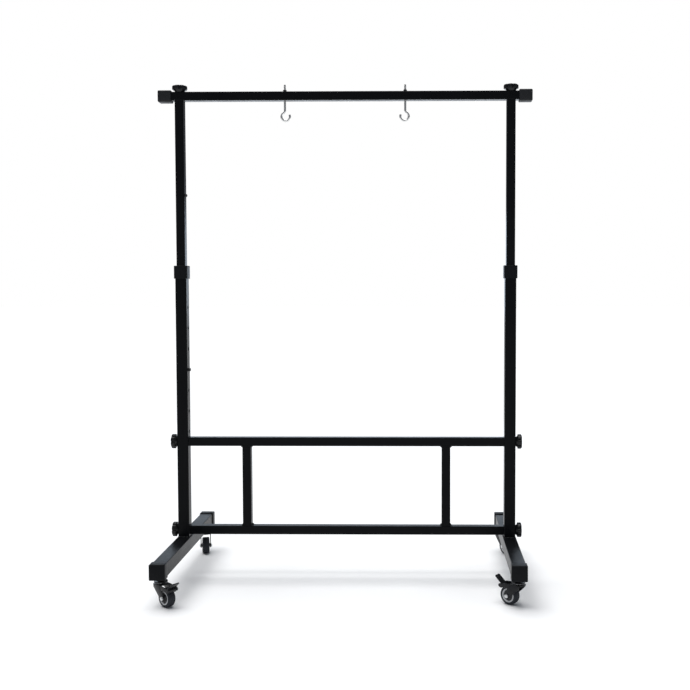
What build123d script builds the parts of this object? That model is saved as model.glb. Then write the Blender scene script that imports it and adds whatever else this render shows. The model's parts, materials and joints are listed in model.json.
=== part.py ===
"""Wheeled hanging stand: two feet on castors, telescoping square posts, a top bar with two hooks.

Millimetres. +X runs along the bar, +Y to the back, +Z up. The origin is on the floor, under the
middle of the bar, midway between the two feet. Each piece is written to parts/NODE.step.
"""

from build123d import *
from math import cos, radians, sin
import os

os.makedirs("parts", exist_ok=True)

# ---- overall sizes -------------------------------------------------------------------------
post_spacing = 944.0        # centre to centre of the two posts
foot_length = 600.0         # front to back, over the end caps
bar_overhang = 56.0         # bar tube beyond each post's centre, without its cap
upper_post_length = 788.0   # upper post, from its foot inside the lower post to the bar
mid_crossbar_height = 394.3  # centre line of the mid crossbar
low_crossbar_lift = 8.2     # gap between the feet and the underside of the low crossbar
ladder_spacing = 576.0      # centre to centre of the two ladder uprights
hook_spacing = 343.0        # centre to centre of the two hooks

# ---- square tubes --------------------------------------------------------------------------
slim_side = 25.0            # upper posts, top bar, crossbars and ladder uprights
lower_post_side = 32.0
foot_side = 38.0
tube_wall = 1.5
tube_corner = 2.0           # outer corner radius of every tube
inner_corner_extra = 0.4    # an inner corner is this much rounder than an even wall would leave it
ladder_weld = 5.0           # leg of the weld beads at the ladder uprights
post_weld = 5.0             # leg of the weld beads in front of and behind each lower post
post_side_weld = 2.5        # leg of the weld beads beside each lower post

# ---- clearances ----------------------------------------------------------------------------
body_gap = 0.3              # between pieces that move against each other
running_gap = 0.06          # radial, for turning fits
slip_gap = 0.1              # between a plug or cap and its tube
moulded_gap = 0.02          # radial, between a moulded piece and its steel core
bore_gap = 0.5              # radial, where a stud passes a wall without touching it
overcut = 1.0               # how far a cutter runs past the face that it opens

# ---- end caps and collars ------------------------------------------------------------------
bar_cap_length = 37.5
bar_cap_wall = 4.0
cap_edge_share = 0.6        # rounding of a cap's closed end, as a share of its wall
foot_cap_skirt = 26.0
foot_cap_wall = 2.2
foot_cap_end = 3.0
collar_height = 37.0
collar_wall = 3.2
collar_lip = 5.0            # the collar's top rim above the lower post's end
collar_edge_round = 1.5
liner_depth = 40.0          # how far the collar's liner reaches down inside the lower post
liner_corner = 1.4

# ---- knobs, studs and inserts --------------------------------------------------------------
knob_radius = 21.3
knob_lobes = 7
knob_notch_radius = 5.5
knob_notch_beyond = 2.5     # centres of the notches beyond the knob's edge
knob_lobe_round = 1.5
knob_crown_round = 4.0
knob_skirt_round = 2.0
knob_head_height = 12.0
knob_neck_height = 6.5
knob_neck_top_radius = 17.0
knob_neck_foot_radius = 12.5
stud_radius = 4.0
stud_reach = 24.0           # how far a stud reaches into its insert
stud_in_knob = 14.0
stud_chamfer = 0.8
insert_length = 28.0
insert_corner = 1.2

# ---- hook bolts ----------------------------------------------------------------------------
hook_wire_radius = 3.0
hook_eye_radius = 12.0      # centre line of the open eye
hook_bend_radius = 8.0
hook_drop = 27.7            # straight shank below the bar
hook_rise = 20.5            # thread above the bar
hook_bend_turn = 60.0       # degrees that the neck turns before it meets the eye
hook_eye_sweep = 260.0      # degrees of the open eye
hook_nut_across = 10.0      # across flats
hook_nut_height = 5.0

# ---- height adjustment ---------------------------------------------------------------------
hole_pitch = 60.0
holes_each_way = 3          # adjusting holes above and below the one in use
post_foot_margin = 4.1      # lowered upper post above the mid crossbar's stud
post_above_holes = 114.6    # lower post above its top adjusting hole
button_above_foot = 20.0    # snap button above the upper post's lower end
button_radius = 5.0
button_round = 3.0          # rounding of the button's tip
button_proud = 6.5          # beyond the lower post's face
button_flange_radius = 7.0
button_flange = 1.5
button_travel = 8.2
spring_strip = 0.8
spring_width = 8.0
spring_length = 42.0
spring_bend = 3.0           # width of the leaf's flat top, where it turns back down
stop_rivet_margin = 21.0    # stop rivet's axis above the collar when the bar is at its lowest
stop_rivet_radius = 4.5
stop_rivet_round = 2.7
stop_rivet_tail_radius = 4.0
stop_rivet_shank = 2.5
stop_rivet_proud = 5.5

# ---- castors -------------------------------------------------------------------------------
castor_inset = 40.0         # swivel axis from the foot's end
wheel_radius = 25.0
tyre_width = 22.0
tyre_shoulder_share = 0.55  # rounding of the tyre's shoulders, as a share of its thickness
hub_radius = 18.0
hub_set_back = 1.0          # edge of the hub's rim inside the tyre's side
hub_dish = 2.0              # how far the hub's web lies inside its rim
hub_rim = 3.5
hub_boss_radius = 7.0
axle_radius = 3.0
axle_head_radius = 5.6
axle_head = 3.2
axle_head_round = 1.9
axle_nut_across = 10.0      # across flats
castor_trail = 26.0
crown_gap = 6.0             # between the wheel and the fork's crown
fork_plate = 2.5
wheel_side_gap = 2.5        # between the tyre's side and the fork's leg
crown_radius = 20.0
leg_top_middle = 3.0        # middle of a leg's top edge behind the swivel axis
leg_top_length = 30.0
leg_top_depth = 10.0
leg_boss_radius = 8.0       # round end of a leg at the axle
ear_root_middle = 12.0      # middle of the pedal ear's root behind the swivel axis
ear_root_side = 12.0
ear_radius = 5.2
kingpin_radius = 4.0
kingpin_head_radius = 6.5
kingpin_head = 2.6
race_gap = 3.6              # between the crown and the race plate, for the balls
race_radius = 18.0
race_plate = 3.0
race_edge_round = 1.2
ball_radius = 1.5
ball_circle_radius = 12.0
ball_count = 10
stem_hex_across = 17.0
stem_radius = 5.0
stem_nut_height = 8.0
stem_above_nut = 4.0
stem_hex_height = 12.8
pedal_pin_radius = 2.0
pedal_hub_radius = 4.5
pedal_pin_clear = 7.9       # pin axis beyond the tyre's tread
pedal_pin_angle = 48.0      # degrees above the horizontal, from the axle back to the pin
pedal_arm = 28.0
pedal_plate = 2.6
pedal_width = 20.0
pedal_rise = 40.0           # degrees that the pedal slopes up at rest
pedal_press = 25.0          # degrees that the pedal tips down to brake
cam_radius = 3.0            # round end of the pedal's cam
castor_headings = {         # degrees from +X in which each castor trails
    "front_left": -40.0,
    "front_right": 140.0,
    "rear_left": -76.0,
    "rear_right": -60.0,
}

# ---- places worked out from the sizes above ------------------------------------------------
post_x = post_spacing / 2
axle_height = wheel_radius
crown_bottom = 2 * wheel_radius + crown_gap
crown_top = crown_bottom + fork_plate
race_bottom = crown_top + race_gap
race_top = race_bottom + race_plate
foot_bottom = race_top + stem_hex_height
foot_centre = foot_bottom + foot_side / 2
foot_top = foot_bottom + foot_side
low_crossbar_height = foot_top + low_crossbar_lift + slim_side / 2
lowering = hole_pitch * holes_each_way
upper_post_foot = mid_crossbar_height + stud_radius + lowering + post_foot_margin
button_height = upper_post_foot + button_above_foot
hole_steps = range(-holes_each_way, holes_each_way + 1)
adjusting_heights = [button_height + hole_pitch * step for step in hole_steps]
lower_post_top = adjusting_heights[-1] + post_above_holes
collar_top = lower_post_top + collar_lip
stop_rivet_height = collar_top + lowering + stop_rivet_margin
bar_bottom = upper_post_foot + upper_post_length
bar_centre = bar_bottom + slim_side / 2
bar_top = bar_bottom + slim_side
crossbar_length = post_spacing - lower_post_side
knob_height = knob_head_height + knob_neck_height
castor_y = foot_length / 2 - castor_inset
fork_inner = tyre_width / 2 + wheel_side_gap
fork_outer = fork_inner + fork_plate
pin_distance = wheel_radius + pedal_pin_clear
pin_x = castor_trail + pin_distance * cos(radians(pedal_pin_angle))
pin_z = axle_height + pin_distance * sin(radians(pedal_pin_angle))
SIDES = {"left": -1, "right": 1}
BUTTON_FACING = {"left": 0.0, "right": 90.0}     # degrees from +X that each snap button faces


def write(name, *solids):
    """Writes one node; several solids stay separate in it."""
    shape = solids[0] if len(solids) == 1 else Compound(children=list(solids))
    shape.label = name
    export_step(shape, f"parts/{name}.step")


def square_tube(side, length, wall=tube_wall):
    """A square tube along +Z from z = 0, centred on the axis, with rounded corners."""
    outer = RectangleRounded(side, side, tube_corner)
    inner = RectangleRounded(side - 2 * wall, side - 2 * wall, tube_corner - wall + inner_corner_extra)
    return extrude(outer - inner, length)


def along_x(shape):
    """Turns a shape built along +Z so that it runs along +X."""
    return Rot(0, 90, 0) * shape


def along_y(shape):
    """Turns a shape built along +Z so that it runs along +Y."""
    return Rot(-90, 0, 0) * shape


def cylinder_z(radius, bottom, top):
    """A cylinder on the Z axis between two heights."""
    return Pos(0, 0, bottom) * Cylinder(radius, top - bottom, align=(Align.CENTER, Align.CENTER, Align.MIN))


def hexagon_z(across_flats, bottom, top):
    """A hexagonal bar on the Z axis between two heights."""
    outline = RegularPolygon(across_flats / 2, 6, major_radius=False)
    return Pos(0, 0, bottom) * extrude(outline, top - bottom)


def cone_z(bottom_radius, top_radius, bottom, top):
    """A cone's frustum on the Z axis between two heights."""
    align = (Align.CENTER, Align.CENTER, Align.MIN)
    return Pos(0, 0, bottom) * Cone(bottom_radius, top_radius, top - bottom, align=align)


def weld_bead(leg, length):
    """A concave bead along Y that fills the corner between a floor, z = 0, and a wall, x = 0."""
    corner = Pos(leg / 2, leg / 2) * Rectangle(leg, leg)
    section = corner - Pos(leg, leg) * Circle(leg)
    return Pos(0, length / 2, 0) * Rot(90, 0, 0) * extrude(section, length)


# ---- base: feet, lower posts, collars and crossbars -------------------------------------------
def foot_tube(side):
    """One foot tube along Y, with a hole underneath for each castor's stem."""
    length = foot_length - 2 * foot_cap_end
    tube = Pos(side * post_x, -length / 2, foot_centre) * along_y(square_tube(foot_side, length))
    for end in (-1, 1):
        hole = cylinder_z(stem_radius + bore_gap, foot_bottom - overcut, foot_bottom + 2 * tube_wall)
        tube -= Pos(side * post_x, end * castor_y, 0) * hole
    return tube


def slip_cap(tube_side, wall, end_wall, skirt):
    """A plastic cap that slips over a tube's end; its outer face is at z = 0, its skirt reaches down."""
    outer_side = tube_side + 2 * wall
    block = extrude(RectangleRounded(outer_side, outer_side, wall), end_wall + skirt)
    block = fillet(block.faces().sort_by(Axis.Z)[-1].edges(), wall * cap_edge_share)
    bore_side = tube_side + 2 * slip_gap
    bore = extrude(RectangleRounded(bore_side, bore_side, tube_corner), skirt)
    return Pos(0, 0, -end_wall - skirt) * (block - bore)


def foot_cap(side, end):
    """The cap on one end of a foot."""
    cap = slip_cap(foot_side, foot_cap_wall, foot_cap_end, foot_cap_skirt)
    return Pos(side * post_x, end * foot_length / 2, foot_centre) * Rot(-90 * end, 0, 0) * cap


def lower_post(name, side):
    """A lower post with its stud holes and its row of adjusting holes."""
    post = Pos(0, 0, foot_top) * square_tube(lower_post_side, lower_post_top - foot_top)
    for height in (low_crossbar_height, mid_crossbar_height):
        hole = Cylinder(stud_radius + bore_gap, lower_post_side + 2 * overcut)
        post -= Pos(0, 0, height) * along_x(hole)
    face = lower_post_side / 2
    for height in adjusting_heights:
        hole = cylinder_z(button_radius + body_gap, face - 2 * tube_wall, face + overcut)
        post -= Rot(0, 0, BUTTON_FACING[name]) * Pos(0, 0, height) * along_x(hole)
    return Pos(side * post_x, 0, 0) * post


def post_weld_beads(side):
    """The four beads round the bottom of a lower post."""
    half = lower_post_side / 2
    length = lower_post_side - 2 * tube_corner
    centre = Pos(side * post_x, 0, foot_top)
    legs = (post_side_weld, post_weld, post_side_weld, post_weld)
    beads = []
    for turn, leg in enumerate(legs):
        beads.append(centre * Rot(0, 0, 90 * turn) * Pos(half, 0, 0) * weld_bead(leg, length))
    return beads


def collar(side):
    """The guide on top of a lower post: a lip, a skirt outside the post and a liner inside it."""
    bore_side = slim_side + 2 * body_gap
    outer_side = lower_post_side + 2 * collar_wall
    body = extrude(RectangleRounded(outer_side, outer_side, collar_wall), collar_height)
    body = fillet(body.faces().sort_by(Axis.Z)[-1].edges(), collar_edge_round)
    socket_side = lower_post_side + 2 * slip_gap
    body -= extrude(RectangleRounded(socket_side, socket_side, tube_corner), collar_height - collar_lip)
    liner_side = lower_post_side - 2 * tube_wall - 2 * slip_gap
    liner_foot = collar_height - collar_lip - liner_depth
    liner = RectangleRounded(liner_side, liner_side, liner_corner)
    body += Pos(0, 0, liner_foot) * extrude(liner, liner_depth)
    bore = RectangleRounded(bore_side, bore_side, tube_corner + body_gap)
    body -= Pos(0, 0, liner_foot) * extrude(bore, liner_depth + collar_lip)
    return Pos(side * post_x, 0, collar_top - collar_height) * body


def crossbar(height):
    """A crossbar between the inner faces of the lower posts."""
    return Pos(-crossbar_length / 2, 0, height) * along_x(square_tube(slim_side, crossbar_length))


def plug(length):
    """A threaded plug that fills a slim tube's end, from z = 0 down; its bore takes a knob's stud."""
    side = slim_side - 2 * tube_wall - 2 * slip_gap
    body = Pos(0, 0, -length) * extrude(RectangleRounded(side, side, insert_corner), length)
    return body - cylinder_z(stud_radius + running_gap, -length, 0)


def crossbar_plug(side, height):
    """The threaded plug in one end of a crossbar."""
    return Pos(side * crossbar_length / 2, 0, height) * Rot(0, 90 * side, 0) * plug(insert_length)


def ladder_upright(side):
    """A short upright between the two crossbars."""
    foot = low_crossbar_height + slim_side / 2
    height = mid_crossbar_height - slim_side / 2 - foot
    return Pos(side * ladder_spacing / 2, 0, foot) * square_tube(slim_side, height)


def ladder_beads(side):
    """The four beads beside an upright's two ends."""
    length = slim_side - 2 * tube_corner
    half = slim_side / 2
    foot = Pos(half, 0, low_crossbar_height + half) * weld_bead(ladder_weld, length)
    head = Pos(half, 0, mid_crossbar_height - half) * Rot(0, 90, 0) * weld_bead(ladder_weld, length)
    pair = [foot, head]
    pair += [Rot(0, 0, 180) * bead for bead in (foot, head)]
    return [Pos(side * ladder_spacing / 2, 0, 0) * bead for bead in pair]


def castor_stem(name):
    """A castor's fixed half: race plate, hexagon, threaded stem and its nut, and the kingpin below."""
    stem_top = foot_bottom + tube_wall + stem_nut_height + stem_above_nut
    stem = cylinder_z(race_radius, race_bottom, race_top)
    stem = fillet(stem.faces().sort_by(Axis.Z)[-1].edges(), race_edge_round)
    stem += hexagon_z(stem_hex_across, race_top, foot_bottom)
    stem += cylinder_z(stem_radius, foot_bottom, stem_top)
    head_top = crown_bottom - body_gap
    stem += cylinder_z(kingpin_radius, head_top, race_bottom)
    stem += cylinder_z(kingpin_head_radius, head_top - kingpin_head, head_top)
    nut_foot = foot_bottom + tube_wall
    nut = hexagon_z(stem_hex_across, nut_foot, nut_foot + stem_nut_height)
    nut -= cylinder_z(stem_radius + moulded_gap, nut_foot, nut_foot + stem_nut_height)
    return [at_castor(name) * stem, at_castor(name) * nut]


def bearing_balls(name):
    """The ring of balls between a castor's crown and its race plate."""
    height = (crown_top + race_bottom) / 2
    ring = PolarLocations(ball_circle_radius, ball_count)
    return [at_castor(name) * Pos(0, 0, height) * place * Sphere(ball_radius) for place in ring]


# ---- castors: forks, axles, wheels and brake pedals -------------------------------------------
def at_castor(name):
    """The place on the floor under a castor's swivel axis."""
    end, side = name.split("_")
    return Pos(SIDES[side] * post_x, {"front": -1, "rear": 1}[end] * castor_y, 0)


def heading(name):
    """A castor's place, turned so that its wheel trails along +X before the turn."""
    return at_castor(name) * Rot(0, 0, castor_headings[name])


def leg_outline(braked):
    """A fork leg seen from the side, drawn in XZ: crown edge, axle boss and the pedal's ear."""
    crown_edge = Rectangle(leg_top_length, leg_top_depth)
    crown_edge = Pos(leg_top_middle, crown_top - leg_top_depth / 2) * crown_edge
    boss = Pos(castor_trail, axle_height) * Circle(leg_boss_radius)
    outline = make_hull(crown_edge.edges() + boss.edges())
    if braked:
        root = Pos(ear_root_middle, crown_top - ear_root_side / 2) * Rectangle(ear_root_side, ear_root_side)
        ear = Pos(pin_x, pin_z) * Circle(ear_radius)
        outline += make_hull(root.edges() + ear.edges())
    return outline


def castor_fork(name):
    """The swivelling fork: a round crown with a leg on each side of the wheel."""
    braked = name.startswith("front")
    crown = cylinder_z(crown_radius, crown_bottom, crown_top)
    crown &= Pos(0, 0, crown_top) * Box(2 * crown_radius, 2 * fork_outer, 2 * crown_top)
    outline = leg_outline(braked)
    leg = Rot(90, 0, 0) * extrude(outline, fork_plate)
    fork = crown + Pos(0, -fork_inner, 0) * leg + Pos(0, fork_outer, 0) * leg
    web = Box(leg_top_length, 2 * fork_inner, fork_plate, align=(Align.CENTER, Align.CENTER, Align.MAX))
    fork += Pos(leg_top_middle, 0, crown_top) * web
    fork -= cylinder_z(kingpin_radius + running_gap, crown_bottom - overcut, crown_top + overcut)
    across = Rot(90, 0, 0) * Cylinder(axle_radius + moulded_gap, 2 * (fork_outer + overcut))
    fork -= Pos(castor_trail, 0, axle_height) * across
    if braked:
        pin_hole = Rot(90, 0, 0) * Cylinder(pedal_pin_radius + running_gap, 2 * (fork_outer + overcut))
        fork -= Pos(pin_x, 0, pin_z) * pin_hole
    return heading(name) * fork


def castor_axle(name):
    """The axle bolt across the fork, with a domed head on one side and a nut on the other."""
    bolt = cylinder_z(axle_radius, -fork_outer - axle_head, fork_outer)
    head = cylinder_z(axle_head_radius, fork_outer, fork_outer + axle_head)
    bolt += fillet(head.faces().sort_by(Axis.Z)[-1].edges(), axle_head_round)
    nut = hexagon_z(axle_nut_across, -fork_outer - axle_head, -fork_outer)
    nut -= cylinder_z(axle_radius + moulded_gap, -fork_outer - axle_head, -fork_outer)
    place = heading(name) * Pos(castor_trail, 0, axle_height) * Rot(90, 0, 0)
    return [place * bolt, place * nut]


def turned_about_axle(name, outline):
    """Turns an outline, drawn as radius and width, about a castor's axle."""
    ring = revolve(Rot(90, 0, 0) * outline, Axis.Z)
    return heading(name) * Pos(castor_trail, 0, axle_height) * Rot(90, 0, 0) * ring


def wheel_hub(name):
    """The wheel's hub: a boss on the axle, a dished web and a rim."""
    bore = axle_radius + running_gap
    boss_half = fork_inner - body_gap
    rim_half = tyre_width / 2 - hub_set_back
    boss = Pos((bore + hub_boss_radius) / 2, 0) * Rectangle(hub_boss_radius - bore, 2 * boss_half)
    web = Pos((bore + hub_radius) / 2, 0) * Rectangle(hub_radius - bore, 2 * (rim_half - hub_dish))
    rim = Pos(hub_radius - hub_rim / 2, 0) * Rectangle(hub_rim, 2 * rim_half)
    return turned_about_axle(name, boss + web + rim)


def tyre(name):
    """The tyre on its hub, with rounded shoulders."""
    inner = hub_radius + moulded_gap
    outline = Pos((inner + wheel_radius) / 2, 0) * Rectangle(wheel_radius - inner, tyre_width)
    shoulders = outline.vertices().group_by(Axis.X)[-1]
    shoulder_round = tyre_shoulder_share * (wheel_radius - hub_radius)
    return turned_about_axle(name, fillet(shoulders, shoulder_round))


def brake_pedal(name):
    """A foot pedal on its pin, with a cam that grips the tyre when the pedal is pressed."""
    half = fork_inner - body_gap
    cam_angle = 180 + pedal_pin_angle + pedal_press
    hub = Circle(pedal_hub_radius)
    cam = Rot(0, 0, cam_angle) * Pos(pedal_pin_clear - body_gap - cam_radius, 0) * Circle(cam_radius)
    arm = Rot(0, 0, pedal_rise) * Pos(pedal_arm / 2, pedal_hub_radius - pedal_plate / 2)
    arm = arm * SlotOverall(pedal_arm + pedal_plate, pedal_plate)
    body = extrude(make_hull(hub.edges() + cam.edges()), half, both=True)
    body += extrude(arm, pedal_width / 2, both=True)
    body += Cylinder(pedal_pin_radius, 2 * fork_outer)
    return heading(name) * Pos(pin_x, 0, pin_z) * Rot(90, 0, 0) * body


# ---- sliding frame: upper posts, bar, caps and plugs -------------------------------------------
def upper_post(name, side):
    """An upper post with the holes for its snap button and its stop rivet."""
    post = Pos(0, 0, upper_post_foot) * square_tube(slim_side, upper_post_length)
    face = slim_side / 2
    holes = ((button_height, button_radius + running_gap), (stop_rivet_height, stop_rivet_shank))
    for height, radius in holes:
        hole = cylinder_z(radius, face - 2 * tube_wall, face + overcut)
        post -= Rot(0, 0, BUTTON_FACING[name]) * Pos(0, 0, height) * along_x(hole)
    return Pos(side * post_x, 0, 0) * post


def top_bar():
    """The bar, with two holes for the knobs' studs and two for the hooks' shanks."""
    length = post_spacing + 2 * bar_overhang
    bar = Pos(-length / 2, 0, bar_centre) * along_x(square_tube(slim_side, length))
    holes = ((post_x, stud_radius + bore_gap), (hook_spacing / 2, hook_wire_radius + running_gap))
    for distance, radius in holes:
        for side in (-1, 1):
            bar -= Pos(side * distance, 0, bar_centre) * Cylinder(radius, slim_side + 2 * overcut)
    return bar


def bar_cap(side):
    """The thick cap on one end of the bar."""
    cap = slip_cap(slim_side, bar_cap_wall, bar_cap_wall, bar_cap_length - bar_cap_wall)
    outer_end = post_x + bar_overhang + bar_cap_wall
    return Pos(side * outer_end, 0, bar_centre) * Rot(0, 90 * side, 0) * cap


def top_plug(side):
    """The threaded plug in the top of an upper post."""
    return Pos(side * post_x, 0, bar_bottom) * plug(insert_length)


def stop_rivet(name, side):
    """A domed rivet that stops the upper post at the collar if it is let down too far."""
    face = slim_side / 2
    head = cylinder_z(stop_rivet_radius, face, face + stop_rivet_proud)
    head = fillet(head.faces().sort_by(Axis.Z)[-1].edges(), stop_rivet_round)
    rivet = head + cylinder_z(stop_rivet_shank, face - 2 * tube_wall, face)
    rivet += cylinder_z(stop_rivet_tail_radius, face - 2 * tube_wall, face - tube_wall)
    turned = Rot(0, 0, BUTTON_FACING[name]) * Pos(0, 0, stop_rivet_height) * along_x(rivet)
    return Pos(side * post_x, 0, 0) * turned


def at_button(name, side):
    """The snap button's place, with +X pointing out of the post."""
    return Pos(side * post_x, 0, button_height) * Rot(0, 0, BUTTON_FACING[name])


def snap_button(name, side):
    """The button that locks an upper post: a domed stem with a flange inside the tube."""
    flange_face = slim_side / 2 - tube_wall - slip_gap
    tip = lower_post_side / 2 + button_proud
    stem = cylinder_z(button_radius, flange_face, tip)
    stem = fillet(stem.faces().sort_by(Axis.Z)[-1].edges(), button_round)
    stem += cylinder_z(button_flange_radius, flange_face - button_flange, flange_face)
    return at_button(name, side) * along_x(stem)


def button_spring(name, side):
    """The bent leaf that pushes a snap button out: one leg behind it, one along the far wall."""
    half_strip = spring_strip / 2
    front = slim_side / 2 - tube_wall - slip_gap - button_flange - body_gap - half_strip
    back = -(slim_side / 2 - tube_wall - slip_gap - half_strip)
    foot = -button_flange_radius
    points = [
        (front, foot),
        (front, button_flange_radius),
        (back + spring_bend, spring_length),
        (back, spring_length),
        (back, foot),
    ]
    strip = trace(Polyline(*points), spring_strip)
    leaf = Pos(0, spring_width / 2, 0) * Rot(90, 0, 0) * extrude(strip, spring_width)
    return at_button(name, side) * leaf


# ---- knobs and hooks --------------------------------------------------------------------------
def knob_head():
    """A star knob on the Z axis; its neck stands on z = 0."""
    star = Circle(knob_radius)
    for place in PolarLocations(knob_radius + knob_notch_beyond, knob_lobes):
        star -= place * Circle(knob_notch_radius)
    head = extrude(fillet(star.vertices(), knob_lobe_round), knob_head_height)
    head = fillet(head.faces().sort_by(Axis.Z)[-1].edges(), knob_crown_round)
    head = fillet(head.faces().sort_by(Axis.Z)[0].edges(), knob_skirt_round)
    knob = Pos(0, 0, knob_neck_height) * head
    knob += cone_z(knob_neck_foot_radius, knob_neck_top_radius, body_gap, knob_neck_height)
    return knob - cylinder_z(stud_radius + moulded_gap, body_gap, stud_in_knob)


def stud(passes):
    """A knob's stud on the Z axis: moulded into the knob, through what it passes, into its plug."""
    bar = cylinder_z(stud_radius, -passes - stud_reach, stud_in_knob)
    return chamfer(bar.faces().sort_by(Axis.Z)[0].edges(), stud_chamfer)


def knob_places():
    """Each knob's name, its seat with +Z pointing outwards, and how far its stud passes."""
    for name, side in SIDES.items():
        yield f"top_{name}", Pos(side * post_x, 0, bar_top), slim_side
        outer_face = side * (post_x + lower_post_side / 2)
        for level, height in (("mid", mid_crossbar_height), ("low", low_crossbar_height)):
            yield f"{level}_{name}", Pos(outer_face, 0, height) * Rot(0, 90 * side, 0), lower_post_side


def hook(side):
    """An open-eye hook bolt through the bar; the left one opens to the right, and the other way."""
    shank_foot = bar_bottom - hook_drop
    shank = Line((0, bar_top + hook_rise), (0, shank_foot))
    bend = JernArc(start=shank @ 1, tangent=(0, -1), radius=hook_bend_radius, arc_size=-hook_bend_turn)
    eye = JernArc(start=bend @ 1, tangent=bend % 1, radius=hook_eye_radius, arc_size=hook_eye_sweep)
    route = Rot(90, 0, 0) * Wire([shank, bend, eye])
    section = Plane(origin=route @ 0, z_dir=route % 0) * Circle(hook_wire_radius)
    bolt = sweep(section, path=route) + Pos(*(route @ 1)) * Sphere(hook_wire_radius)
    turn = 0 if side < 0 else 180
    return Pos(side * hook_spacing / 2, 0, 0) * Rot(0, 0, turn) * bolt


def hook_nut(side):
    """The nut that holds a hook bolt on top of the bar."""
    foot = bar_top + body_gap
    nut = hexagon_z(hook_nut_across, foot, foot + hook_nut_height)
    nut -= cylinder_z(hook_wire_radius + moulded_gap, foot, foot + hook_nut_height)
    return Pos(side * hook_spacing / 2, 0, 0) * nut


# ---- write every node ----------------------------------------------------------------------------
for name, side in SIDES.items():
    write(f"foot_tube_{name}", foot_tube(side))
    write(f"lower_post_{name}", lower_post(name, side))
    write(f"collar_{name}", collar(side))
    write(f"ladder_upright_{name}", ladder_upright(side))
    write(f"upper_post_{name}", upper_post(name, side))
    write(f"snap_button_{name}", snap_button(name, side))
    write(f"button_spring_{name}", button_spring(name, side))
    write(f"hook_{name}", hook(side))
    write(f"hook_nut_{name}", hook_nut(side))

write("foot_end_caps", *[foot_cap(side, end) for side in (-1, 1) for end in (-1, 1)])
write("post_welds", *post_weld_beads(-1), *post_weld_beads(1))
write("mid_crossbar", crossbar(mid_crossbar_height))
write("low_crossbar", crossbar(low_crossbar_height))
write("ladder_welds", *ladder_beads(-1), *ladder_beads(1))
plug_heights = (low_crossbar_height, mid_crossbar_height)
write("crossbar_plugs", *[crossbar_plug(side, height) for side in (-1, 1) for height in plug_heights])
write("top_bar", top_bar())
write("bar_end_caps", bar_cap(-1), bar_cap(1))
write("post_top_plugs", top_plug(-1), top_plug(1))
write("stop_rivets", *[stop_rivet(name, side) for name, side in SIDES.items()])

for name, seat, passes in knob_places():
    write(f"knob_{name}", seat * knob_head())
    write(f"knob_stud_{name}", seat * stud(passes))

stems = [solid for name in castor_headings for solid in castor_stem(name)]
write("castor_stems", *stems)
balls = [ball for name in castor_headings for ball in bearing_balls(name)]
write("castor_balls", *balls)
for name in castor_headings:
    write(f"castor_fork_{name}", castor_fork(name))
    write(f"castor_axle_{name}", *castor_axle(name))
    write(f"castor_hub_{name}", wheel_hub(name))
    write(f"castor_tyre_{name}", tyre(name))
    if name.startswith("front"):
        write(f"brake_pedal_{name}", brake_pedal(name))
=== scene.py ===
"""A wheeled hanging stand with telescoping square posts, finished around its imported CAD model.

Metres, in the CAD model's own frame: +X along the bar, +Y to the back, +Z up, floor at zero.
"""
import json
from math import atan2, cos, pi, radians, sin, tau

import bmesh
import bpy
from mathutils import Matrix, Vector


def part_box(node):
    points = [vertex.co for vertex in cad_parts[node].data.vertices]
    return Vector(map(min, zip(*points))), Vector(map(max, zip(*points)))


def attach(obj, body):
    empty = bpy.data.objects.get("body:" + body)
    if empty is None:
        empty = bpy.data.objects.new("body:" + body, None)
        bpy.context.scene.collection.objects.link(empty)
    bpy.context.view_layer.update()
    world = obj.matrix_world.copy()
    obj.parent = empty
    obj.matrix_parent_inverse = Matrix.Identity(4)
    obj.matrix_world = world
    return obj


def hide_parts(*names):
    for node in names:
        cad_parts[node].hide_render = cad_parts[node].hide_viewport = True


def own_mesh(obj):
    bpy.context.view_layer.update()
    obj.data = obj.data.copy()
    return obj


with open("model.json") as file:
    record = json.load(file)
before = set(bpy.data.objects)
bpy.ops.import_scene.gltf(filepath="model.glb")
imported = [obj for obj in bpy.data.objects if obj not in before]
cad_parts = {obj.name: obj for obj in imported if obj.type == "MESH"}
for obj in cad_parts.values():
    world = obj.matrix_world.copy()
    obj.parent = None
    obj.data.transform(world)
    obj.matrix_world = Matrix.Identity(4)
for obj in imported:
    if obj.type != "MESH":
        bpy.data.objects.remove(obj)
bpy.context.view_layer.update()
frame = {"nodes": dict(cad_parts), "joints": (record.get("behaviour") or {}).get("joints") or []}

nodes = frame["nodes"]
joints = {joint["name"]: joint for joint in frame["joints"]}
SIDES = {"left": -1, "right": 1}

# ---- Camera, floor and studio light ---------------------------------------------------------
# The camera stands to the right of the middle, a little above the stand's half height, and looks
# almost level. The floor is a plain pale sheet under one broad soft key light, and a low cool panel
# behind the stand gives the faces that look up their blue-grey sheen.
camera_place = (0.2183, -2.7311, 0.8342)
camera_tilt, camera_roll, camera_turn = radians(87.30), radians(0.06), radians(0.84)
camera_lens, camera_sensor = 49.57, 36.0
camera_shift = (-0.091, -0.016)

camera_data = bpy.data.cameras.new("camera")
camera_data.lens, camera_data.sensor_width = camera_lens, camera_sensor
camera_data.shift_x, camera_data.shift_y = camera_shift
camera = bpy.data.objects.new("camera", camera_data)
camera.location = camera_place
camera.rotation_euler = (camera_tilt, camera_roll, camera_turn)
bpy.context.scene.collection.objects.link(camera)
bpy.context.scene.camera = camera
bpy.context.scene.view_settings.view_transform = "Standard"


def add_node(tree, kind, inputs=None, **settings):
    """Adds a shader node. A value is set on its socket, and another node's output is linked."""
    made = tree.nodes.new(kind)
    for name, value in settings.items():
        setattr(made, name, value)
    for name, value in (inputs or {}).items():
        if isinstance(value, bpy.types.NodeSocket):
            tree.links.new(value, made.inputs[name])
        else:
            made.inputs[name].default_value = value
    return made


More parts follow.
